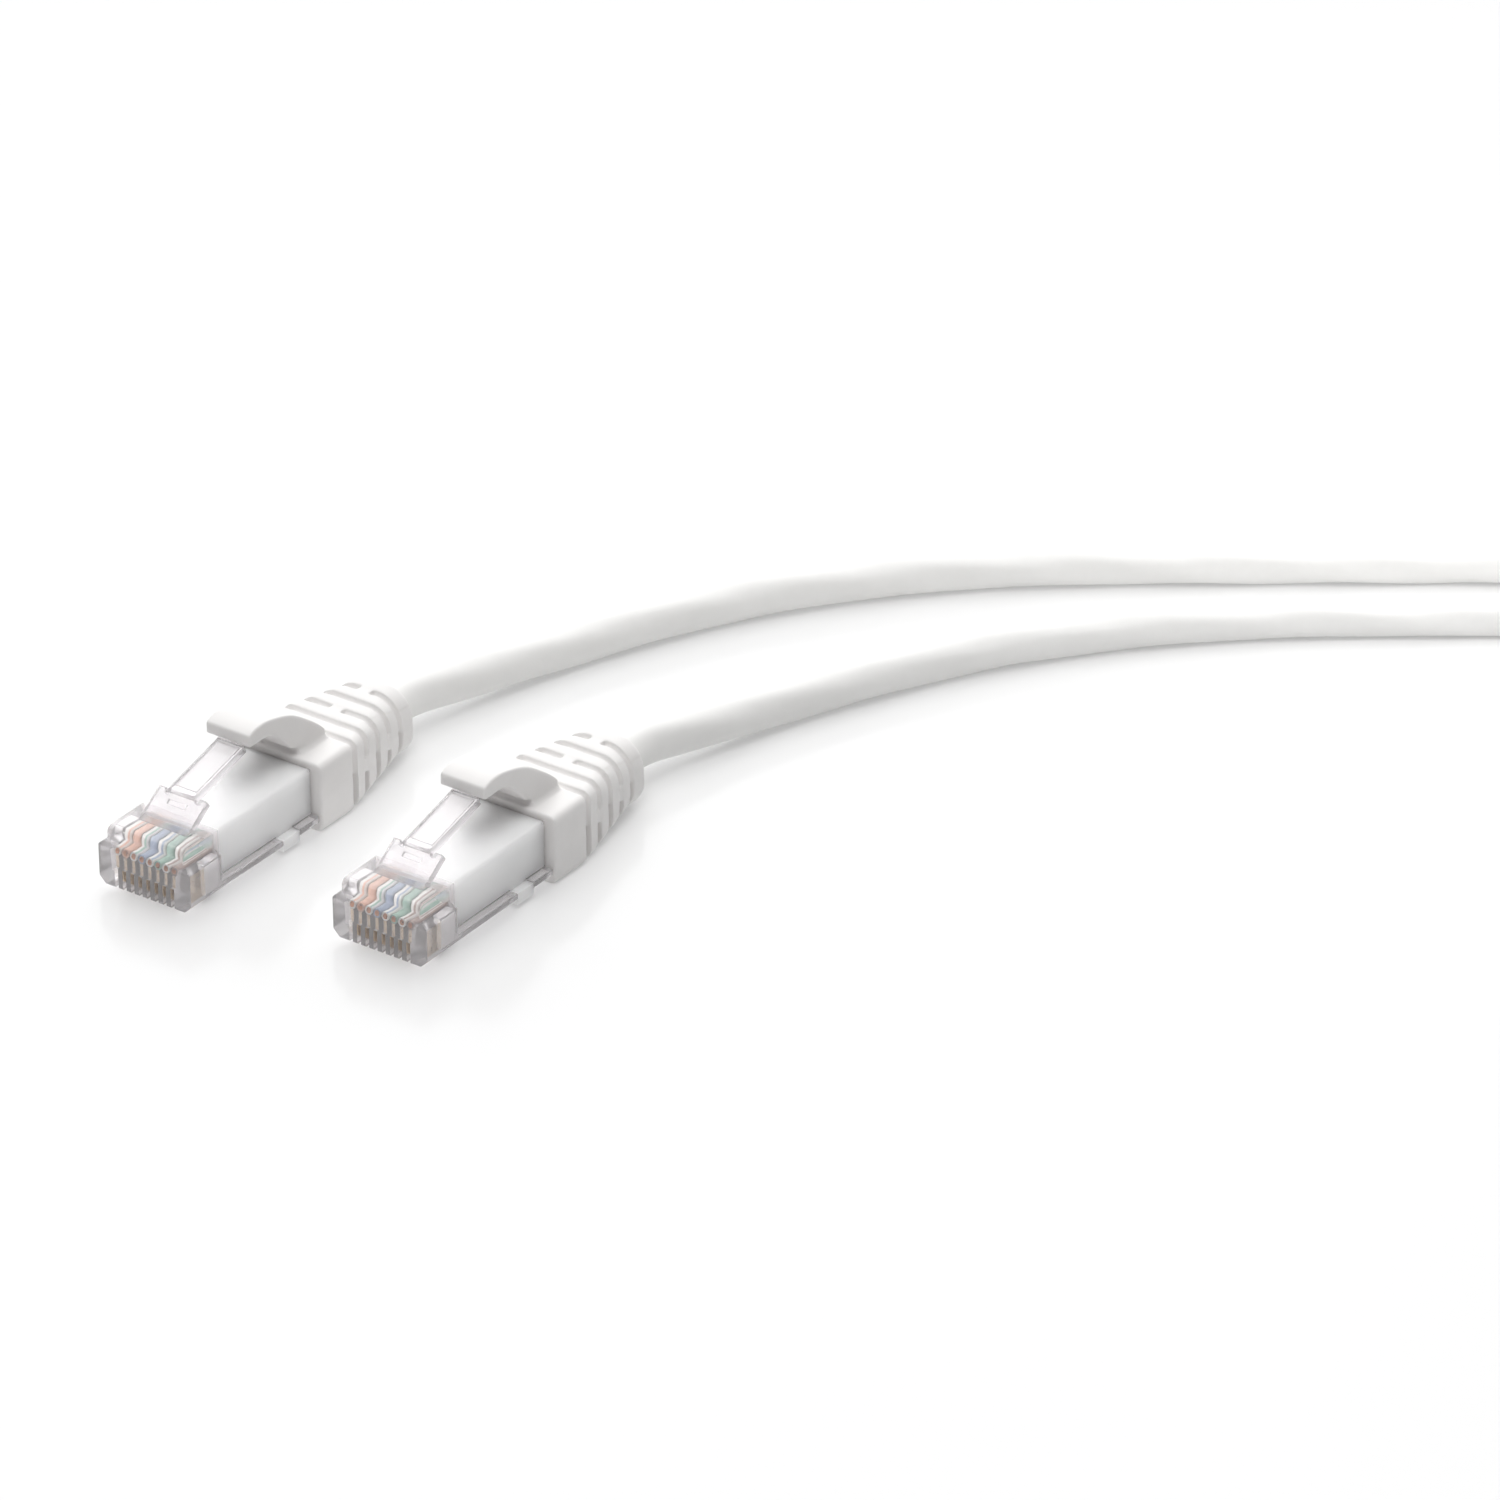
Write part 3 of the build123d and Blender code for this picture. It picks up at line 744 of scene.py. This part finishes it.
LATCH_THICKNESS = 0.9
LATCH_RAMP_LENGTH = 3.6
LATCH_RAMP_HALF = 3.05
LATCH_RAMP_ANGLE = math.radians(34.5)
LATCH_BAR_HALF = 1.7
LATCH_BAR_ANGLE = math.radians(14.2)
LATCH_BAR_STEP = 0.3        # by which the bar's top stands over the ramp's
LATCH_BAR_LAP = 1.1         # by which the bar's underside runs along the ramp
LATCH_END = 14.6
LATCH_ROOT = (-0.74, -0.2)  # where the ramp's top and underside start inside the nose
LATCH_ROUNDING = 0.1
LATCH_SHARPEST = 50
BEND_STEP = 0.25            # between the ramp's points where it bends
BEND_STEPS = 9
RIM = 0.32                  # beside the hollow along the bar
HOLLOW_DEPTH = 0.28
HOLLOW_FRONT = 0.7
HOLLOW_REAR = 0.5           # short of the bar's end
POCKET_ALONG = (2.0, 2.55)
POCKET_HALF = 1.15
POCKET_DEPTH = 0.38
NOTCH_ALONG = (LATCH_RAMP_LENGTH - 0.55, LATCH_RAMP_LENGTH + 0.3)  # beside the bar's root
NOTCH_START = LATCH_BAR_HALF + 0.02
NOTCH_WIDTH = 0.42

# The white mould: how far it lies under the plug's outer faces, at places along y
MOULD_INSETS = [
    (5.3, 1.3), (5.33, 1.0), (5.42, 0.65), (5.55, 0.4), (5.7, 0.22), (5.85, 0.1), (6.0, 0.02),
    (6.2, 0.0), (20.9, 0.0),
]
MOULD_CORNER = 0.45
MOULD_CORNER_GROWTH = 0.8   # for each millimetre of inset
MOULD_FLUSH = (6.0, 20.92)  # where the mould is the plug's outer face, along y
MOULD_GAP = 0.02
REAR_OPENING = 20           # gaps by which the mould's cavity passes the housing's rear
CHIN_HALF = 4.6             # the mould's part under the wires, behind the contacts
CHIN_FRONT = 4.15
CHIN_REAR = 6.5
CHIN_Z = (0.5, 3.5)
ARM_X = (4.35, 5.3)         # its arm on each side of the contacts
ARM_FRONT = 2.7
ARM_Z = (0.9, 4.1)
TAB_GAP = 0.06              # around the mould's tabs in the window
WINDOW_TOP = FLOOR_WALL + 0.1
WEB_TOP = FLOOR_WALL + 0.09
CORE_HALF = 4.5
CORE_Z = (FLOOR_WALL - 0.2, FLOOR_WALL + 0.6)
RECESS_HALF = 2.5           # in the mould's underside, over the window
RECESS_TOP = 0.6
JACKET_FRONT = 13.88        # where the jacket ends inside the mould


def contact_positions():
    first = -(CONTACT_COUNT - 1) / 2 * CONTACT_PITCH
    return [first + i * CONTACT_PITCH for i in range(CONTACT_COUNT)]


def nose_outline():
    """Front outline: a chamfered foot, then sloped shoulders up to the body's width."""
    return mirrored([(NOSE_HALF - FOOT_CHAMFER, 0), (NOSE_HALF, FOOT_CHAMFER),
                     (NOSE_HALF, NOSE_SHOULDER_Z), (BODY_HALF, NOSE_SHOULDER_Z + SHOULDER_RISE),
                     (BODY_HALF, PLUG_HEIGHT)])


def nose_side():
    """Side outline: upright below, a ledge, then up to a rounded top edge."""
    foot = [(0, 0), (0, NOSE_SHOULDER_Z), (NOSE_LEDGE, NOSE_SHOULDER_Z + NOSE_LEDGE)]
    edge = quarter((NOSE_LEDGE + NOSE_CORNER, PLUG_HEIGHT - NOSE_CORNER), NOSE_CORNER, 180)
    return foot + edge + [(NOSE_LENGTH, PLUG_HEIGHT), (NOSE_LENGTH, 0)]


def flange_outline():
    return mirrored([(NOSE_HALF - FOOT_CHAMFER, 0), (NOSE_HALF, FOOT_CHAMFER),
                     (NOSE_HALF, FLANGE_THICKNESS)])


def mould_section(inset, grow):
    """Rounded section of the mould at an inset, as (x, z) points."""
    return arch(BODY_HALF - inset + grow, FLOOR_WALL + grow / 2, PLUG_HEIGHT - inset + grow,
                MOULD_CORNER + inset * MOULD_CORNER_GROWTH)


def mould_body(grow):
    """The white mould that shows as the plug's body, or with growth its cavity."""
    places = [y for y, inset in MOULD_INSETS]
    places[0] -= grow
    places[-1] += REAR_OPENING * grow
    return loft([mould_section(inset, grow) for y, inset in MOULD_INSETS], places)


def mould_chin(gap):
    """The mould's forward part under the wires, with an arm on each side."""
    half = CHIN_HALF - gap
    parts = [block((-half, CHIN_FRONT + gap, CHIN_Z[0] + gap), (half, CHIN_REAR, CHIN_Z[1] - gap))]
    for side in (-1, 1):
        left, right = sorted((side * (ARM_X[0] + gap), side * (ARM_X[1] - gap)))
        parts.append(block((left, ARM_FRONT + gap, ARM_Z[0] + gap),
                           (right, NOSE_LENGTH - OVERLAP - gap, ARM_Z[1] - gap)))
    return parts


def tilted(origin, angle, along, across):
    """A place (y, z) along and across a line that rises at an angle."""
    return (origin[0] + along * math.cos(angle) - across * math.sin(angle),
            origin[1] + along * math.sin(angle) + across * math.cos(angle))


def on_ramp(along, across):
    """From the pivot, in the middle of the ramp's thickness."""
    return tilted(LATCH_PIVOT, LATCH_RAMP_ANGLE, along, across)


def on_bar(along, across):
    """From the top edge where the bar leaves the ramp."""
    start = on_ramp(LATCH_RAMP_LENGTH - 0.1, LATCH_THICKNESS / 2 + LATCH_BAR_STEP)
    return tilted(start, LATCH_BAR_ANGLE, along, across)


def bar_length():
    return (LATCH_END - on_bar(0, 0)[0]) / math.cos(LATCH_BAR_ANGLE)


def cut_along(place, low, high, half):
    """A cutting prism across the latch, from two corners on its ramp or its bar."""
    return prism([place(*corner) for corner in box_points(low, high)], -half, half, 0)


def ramp_plate():
    """The latch's wide ramp, with points close together where it bends at its root."""
    half = LATCH_THICKNESS / 2
    steps = [BEND_STEP * k for k in range(BEND_STEPS)] + [LATCH_RAMP_LENGTH]
    outline = [on_ramp(s, half) for s in [LATCH_ROOT[0]] + steps]
    outline += [on_ramp(s, -half) for s in steps[::-1] + [LATCH_ROOT[1]]]
    return bevelled(prism(outline, -LATCH_RAMP_HALF, LATCH_RAMP_HALF, 0), LATCH_ROUNDING,
                    sharpest=LATCH_SHARPEST)


def latch_bar():
    outline = [on_bar(0, 0), on_ramp(LATCH_RAMP_LENGTH - LATCH_BAR_LAP, 0),
               on_ramp(LATCH_RAMP_LENGTH, -0.4),
               on_bar(bar_length(), -LATCH_THICKNESS), on_bar(bar_length(), 0)]
    return bevelled(prism(outline, -LATCH_BAR_HALF, LATCH_BAR_HALF, 0), LATCH_ROUNDING,
                    sharpest=LATCH_SHARPEST)


def latch_recesses():
    """Hollow along the bar between two rims, pocket across the ramp, and two corner notches."""
    top = LATCH_THICKNESS / 2
    end = bar_length() - HOLLOW_REAR
    cuts = [
        cut_along(on_bar, (HOLLOW_FRONT, -HOLLOW_DEPTH), (end, BEYOND), LATCH_BAR_HALF - RIM),
        cut_along(on_ramp, (POCKET_ALONG[0], top - POCKET_DEPTH), (POCKET_ALONG[1], top + BEYOND),
                  POCKET_HALF),
    ]
    corners = box_points((NOTCH_ALONG[0], -BEYOND), (NOTCH_ALONG[1], BEYOND))
    notch = [on_ramp(*corner) for corner in corners]
    for side in (-1, 1):
        start = side * NOTCH_START
        cuts.append(prism(notch, *sorted((start, start + side * NOTCH_WIDTH)), 0))
    return cuts


def housing_cuts():
    """The contacts' slots, the room that the white mould takes, and the window."""
    cuts = []
    for x in contact_positions():
        left, right = x - SLOT_HALF, x + SLOT_HALF
        cuts.append(block((left, -BEYOND, -BEYOND), (right, SLOT_REAR, SLOT_TOP)))
        cuts.append(block((left, PRONG_FRONT, SLOT_TOP - 0.05), (right, SLOT_REAR, PRONG_TOP)))
    cuts.append(mould_body(MOULD_GAP))
    cuts.append(block((-NOSE_HALF, MOULD_FLUSH[0], FLOOR_WALL + 0.01),
                      (NOSE_HALF, MOULD_FLUSH[1], PLUG_HEIGHT + BEYOND)))
    cuts.extend(mould_chin(0))
    reach = NOSE_HALF + BEYOND
    cuts.append(block((-reach, WINDOW[0], -BEYOND), (reach, WINDOW[1], WINDOW_TOP)))
    return cuts


def rounded_housing():
    """Nose, flange and body as one moulding with rounded edges."""
    housing = object_from(prism(nose_outline(), 0, NOSE_LENGTH, 1), "housing")
    side = prism(nose_side(), -NOSE_HALF - BEYOND, NOSE_HALF + BEYOND, 0)
    combine(housing, [side], "INTERSECT")
    joint = NOSE_LENGTH - OVERLAP
    flange = prism(flange_outline(), joint, HOUSING_LENGTH, 1)
    body = block((-BODY_HALF, joint, 0), (BODY_HALF, HOUSING_LENGTH, PLUG_HEIGHT))
    combine(housing, [flange, body], "UNION")
    bm = bmesh_of(housing.data)
    bmesh.ops.dissolve_limit(bm, angle_limit=math.radians(1), verts=bm.verts, edges=bm.edges)
    bevelled(bm, EDGE_ROUNDING, 3)
    bm.to_mesh(housing.data)
    bm.free()
    return housing


def latch_moulding():
    """The latch's ramp and bar, as one bmesh."""
    latch = object_from(ramp_plate(), "latch")
    root = rod(LATCH_PIVOT, LATCH_THICKNESS / 2, -LATCH_RAMP_HALF, LATCH_RAMP_HALF, 0, 24)
    combine(latch, [root, latch_bar()], "UNION")
    combine(latch, latch_recesses(), "DIFFERENCE")
    return bmesh_of(mesh_out_of(latch))


def make_shell_mesh():
    """Clear plug housing with its latch, in an end's own frame."""
    shell = rounded_housing()
    combine(shell, housing_cuts(), "DIFFERENCE")
    combine(shell, [latch_moulding()], "UNION")
    return mesh_out_of(shell)


def make_shell(mesh, letter, material):
    shell = new_object("plug_shell_" + letter, mesh.copy())
    smooth_by_angle(into_place(shell, letter), CREASE)
    paint(shell, material)
    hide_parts("plug_housing_" + letter, "latch_" + letter)
    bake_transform(shell)


def mould_foot():
    """The mould's tabs in the window, and what joins them to its body."""
    front = WINDOW[0] + TAB_GAP
    rear = WINDOW[1] - TAB_GAP
    reach = NOSE_HALF - TAB_GAP
    web = BODY_HALF - 0.02
    return [
        block((-reach, front, TAB_GAP), (reach, rear, FLANGE_THICKNESS - TAB_GAP)),
        block((-web, front, TAB_GAP), (web, rear, WEB_TOP)),
        block((-CORE_HALF, front, CORE_Z[0]), (CORE_HALF, rear, CORE_Z[1])),
    ]


def make_mould_mesh():
    """White mould around the wires and the jacket's end, with a soft front edge."""
    mould = object_from(mould_body(0), "mould")
    combine(mould, mould_foot() + mould_chin(MOULD_GAP), "UNION")
    recess = block((-RECESS_HALF, WINDOW[0] - BEYOND, -BEYOND),
                   (RECESS_HALF, WINDOW[1] + BEYOND, RECESS_TOP))
    bore = rod((0, JACKET_Z), CABLE_RADIUS + MOULD_GAP, JACKET_FRONT, HOUSING_LENGTH + BEYOND, 1)
    combine(mould, [recess, bore], "DIFFERENCE")
    return mesh_out_of(mould)


def make_mould(mesh, letter, material):
    mould = new_object("white_mould_" + letter, mesh.copy())
    smooth_by_angle(into_place(mould, letter), CREASE)
    paint(mould, material)
    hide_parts("inner_mould_" + letter)
    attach(mould, "cable")


# ---------------------------------------------------------------- boot and lever

GROOVES = (26.55, 37.05)    # the ribs and the grooves between them, along y
GROOVE_FLOOR_DEPTH = 0.55   # of the upper grooves
ARCH_START = GROOVES[0] - 0.3
ARCH_STEP = 0.2
ARCH_COUNT = 54
RIB_HALF = (6.15, 4.5)      # at the first rib and the last
RIB_CORNER = (0.9, 3.3)
BOOT_MIDDLE = 3.4           # height of the parting line
PARTING_LOW = BOOT_MIDDLE - 0.1
PARTING_SLOPE = 0.15
PARTING_STEP = 0.05         # by which the upper half is narrower on each side
BOOT_SIDE = 4               # the parting line shows beyond this x
BOOT_VOXEL = 0.15
SOFTENING = 4
BOOT_UNDERSIDE = -0.5
FOOT_HALF = 3.2             # filler where the lever's root runs into the block
FOOT_ALONG = (21.9, 26.2)
FOOT_SINK = 1.0             # below and above the block's top
FOOT_RISE = 0.5
BORE_FILL = (HOUSING_LENGTH + 0.3, 39.6)


def between(pair, share):
    return pair[0] + share * (pair[1] - pair[0])


def groove_floor(y):
    """Upper half of the boot's section, at the floor of its upper grooves."""
    share = (y - GROOVES[0]) / (GROOVES[1] - GROOVES[0])
    return arch(between(RIB_HALF, share) - GROOVE_FLOOR_DEPTH, BOOT_MIDDLE,
                BOOT_TOP - GROOVE_FLOOR_DEPTH,
                between(RIB_CORNER, share) - GROOVE_FLOOR_DEPTH / 2)


def lever_foot():
    """Filler where the lever's root runs into the top of the block."""
    outline = mirrored([(FOOT_HALF, BOOT_TOP - FOOT_SINK), (FOOT_HALF, BOOT_TOP + 0.02),
                        (LEVER_HALF, BOOT_TOP + FOOT_RISE)])
    return prism(outline, *FOOT_ALONG, 1)


def add_shell(bm, other):
    """Adds one bmesh's faces to another."""
    mesh = bpy.data.meshes.new("part")
    bmesh.ops.recalc_face_normals(other, faces=other.faces)
    other.to_mesh(mesh)
    other.free()
    bm.from_mesh(mesh)
    bpy.data.meshes.remove(mesh)


def add_cad_shell(bm, name, letter):
    """Adds a CAD piece's mesh, brought into its end's own frame."""
    source = bpy.data.objects[name]
    mesh = source.data.copy()
    mesh.transform(end_matrix(letter).inverted() @ source.matrix_world)
    bm.from_mesh(mesh)
    bpy.data.meshes.remove(mesh)


def boot_solids():
    """The CAD boot and lever, with what fills their joints and evens the grooves' floors."""
    bm = bmesh.new()
    for name in ("boot_a", "boot_lever_a"):
        add_cad_shell(bm, name, "a")
    add_shell(bm, lever_foot())
    places = [ARCH_START + ARCH_STEP * k for k in range(ARCH_COUNT)]
    add_shell(bm, loft([groove_floor(y) for y in places], places))
    add_shell(bm, rod((0, JACKET_Z), CABLE_RADIUS + 0.3, *BORE_FILL, 1))
    return bm


def add_parting_line(mesh):
    """Narrows the boot's sides above the line where its mould halves met."""
    for vertex in mesh.vertices:
        x, y, z = vertex.co
        if abs(x) > BOOT_SIDE:
            above = eased((z - PARTING_LOW) / PARTING_SLOPE)
            vertex.co.x -= math.copysign(PARTING_STEP, x) * above
        vertex.co.z = max(z, BOOT_UNDERSIDE)


def make_boot_mesh():
    """Boot and lever as one soft moulding, in an end's own frame."""
    boot = object_from(boot_solids(), "boot")
    remesh = boot.modifiers.new("remesh", "REMESH")
    remesh.mode = "VOXEL"
    remesh.voxel_size = BOOT_VOXEL
    soften = boot.modifiers.new("soften", "SMOOTH")
    soften.factor = 0.5
    soften.iterations = SOFTENING
    applied(boot)
    add_parting_line(boot.data)
    return mesh_out_of(boot)


def make_boot(mesh, letter, material):
    boot = new_object("moulded_boot_" + letter, mesh.copy())
    into_place(boot, letter)
    smooth_all(boot.data)
    paint(boot, material)
    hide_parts("boot_" + letter, "boot_lever_" + letter)
    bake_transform(boot)


# ---------------------------------------------------------------- stage

FLOOR_REACH = 3.0
FLOOR_PAINTED_GLOW = 0.22           # painted glow: the floor gives off light of its own, which lightens the shadows on it


def make_floor():
    material, tree, shader = new_material("floor")
    cloud = noise_on(tree, scale=3, detail=2)
    finished(tree, shader, mottled(tree, cloud, (0.64, 0.64, 0.64), (0.66, 0.66, 0.66)),
             range_of(tree, cloud, low=0.14, high=0.18))
    # Painted glow: the floor emits a little light, so the shadows cast on it stay light
    shader.inputs["Emission Color"].default_value = (1, 1, 1, 1)
    shader.inputs["Emission Strength"].default_value = FLOOR_PAINTED_GLOW
    corners = box_points((-FLOOR_REACH, -FLOOR_REACH), (FLOOR_REACH, FLOOR_REACH))
    mesh = bpy.data.meshes.new("floor")
    mesh.from_pydata([(x, y, 0) for x, y in corners], [], [(0, 1, 2, 3)])
    floor = new_object("floor", mesh)
    paint(floor, material)


def area_light(name, place, aim, size, energy, spread=180):
    """A square softbox, aimed at a point."""
    data = bpy.data.lights.new(name, "AREA")
    data.shape = "RECTANGLE"
    data.size = size
    data.size_y = size
    data.energy = energy
    data.spread = math.radians(spread)
    light = bpy.data.objects.new(name, data)
    bpy.context.scene.collection.objects.link(light)
    light.location = place
    direction = Vector(aim) - Vector(place)
    light.rotation_euler = direction.to_track_quat("-Z", "Y").to_euler()


def make_lights():
    area_light("overhead", place=(-0.12, 0.15, 1.0), aim=(0.04, 0.05, 0), size=1.1, energy=5.5)
    area_light("front_top", place=(0.28, -0.32, 0.95), aim=(0.03, 0.04, 0), size=0.5, energy=3.3)
    area_light("far_top", place=(0.05, 0.13, 0.16), aim=(0.05, 0.105, 0), size=0.1, energy=0.010,
               spread=100)
    area_light("far_side", place=(0.13, 0.07, 0.09), aim=(0.062, 0.108, 0), size=0.06,
               energy=0.009, spread=70)
    area_light("front_left", place=(-0.38, -0.5, 0.42), aim=(0, 0, 0), size=0.9, energy=0.68)


# The room is brightest towards a white backdrop behind the cable, and dim behind the camera
BACKDROP = (-0.52, 0.74, 0.42)
ROOM = [(0.0, (0.04, 0.04, 0.04)), (0.55, (0.09, 0.09, 0.09)), (0.87, (1.0, 1.0, 1.0))]
ROOM_STRENGTH = 1.52


def make_room():
    world = bpy.data.worlds.new("studio")
    bpy.context.scene.world = world
    world.use_nodes = True
    tree = world.node_tree
    direction = tree.nodes.new("ShaderNodeTexCoord")
    towards = tree.nodes.new("ShaderNodeVectorMath")
    towards.operation = "DOT_PRODUCT"
    towards.inputs[1].default_value = BACKDROP
    tree.links.new(direction.outputs["Generated"], towards.inputs[0])
    room = ramp_of(tree, towards.outputs["Value"], ROOM)
    tree.links.new(room, tree.nodes["Background"].inputs["Color"])
    tree.nodes["Background"].inputs["Strength"].default_value = ROOM_STRENGTH
    bpy.context.scene.view_settings.view_transform = "Standard"


# ---------------------------------------------------------------- assembly

make_camera()
jacket = soft_plastic("cable_jacket", (0.91, 0.905, 0.89), roughness=0.38, subsurface=0.1)
cable, cable_path, cable_length = make_cable(jacket)
strap = make_strap(strap_material())
make_floor()
make_lights()
make_room()

clear = clear_plastic()
milky = soft_plastic("milky_polyethylene", (0.95, 0.94, 0.94), roughness=0.4, subsurface=1.0,
                     reach=0.004)
boot_finish = soft_plastic("boot_pvc", (0.87, 0.855, 0.845), roughness=0.42, subsurface=0.2)
gold = plated_metal("gold_contact", (0.9, 0.7, 0.44), dark=(0.74, 0.54, 0.3))
copper = plated_metal("copper", (0.72, 0.35, 0.2), dark=(0.5, 0.22, 0.12))
wire_finishes = {name: wire_material(name) for name in WIRE_NAMES}


def paint_cad_nodes(letter):
    """Finishes of the CAD nodes that are shown as they are."""
    paint(bpy.data.objects["contacts_" + letter], gold)
    paint(bpy.data.objects["wire_cores_" + letter], copper)
    paint(bpy.data.objects["jacket_end_" + letter], jacket)
    for name, finish in wire_finishes.items():
        paint(bpy.data.objects["wire_" + name + "_" + letter], finish)


shell_mesh = make_shell_mesh()
mould_mesh = make_mould_mesh()
boot_mesh = make_boot_mesh()
for end in ENDS:
    make_shell(shell_mesh, end, clear)
    make_mould(mould_mesh, end, milky)
    make_boot(boot_mesh, end, boot_finish)
    paint_cad_nodes(end)
for mesh in (shell_mesh, mould_mesh, boot_mesh):
    bpy.data.meshes.remove(mesh)
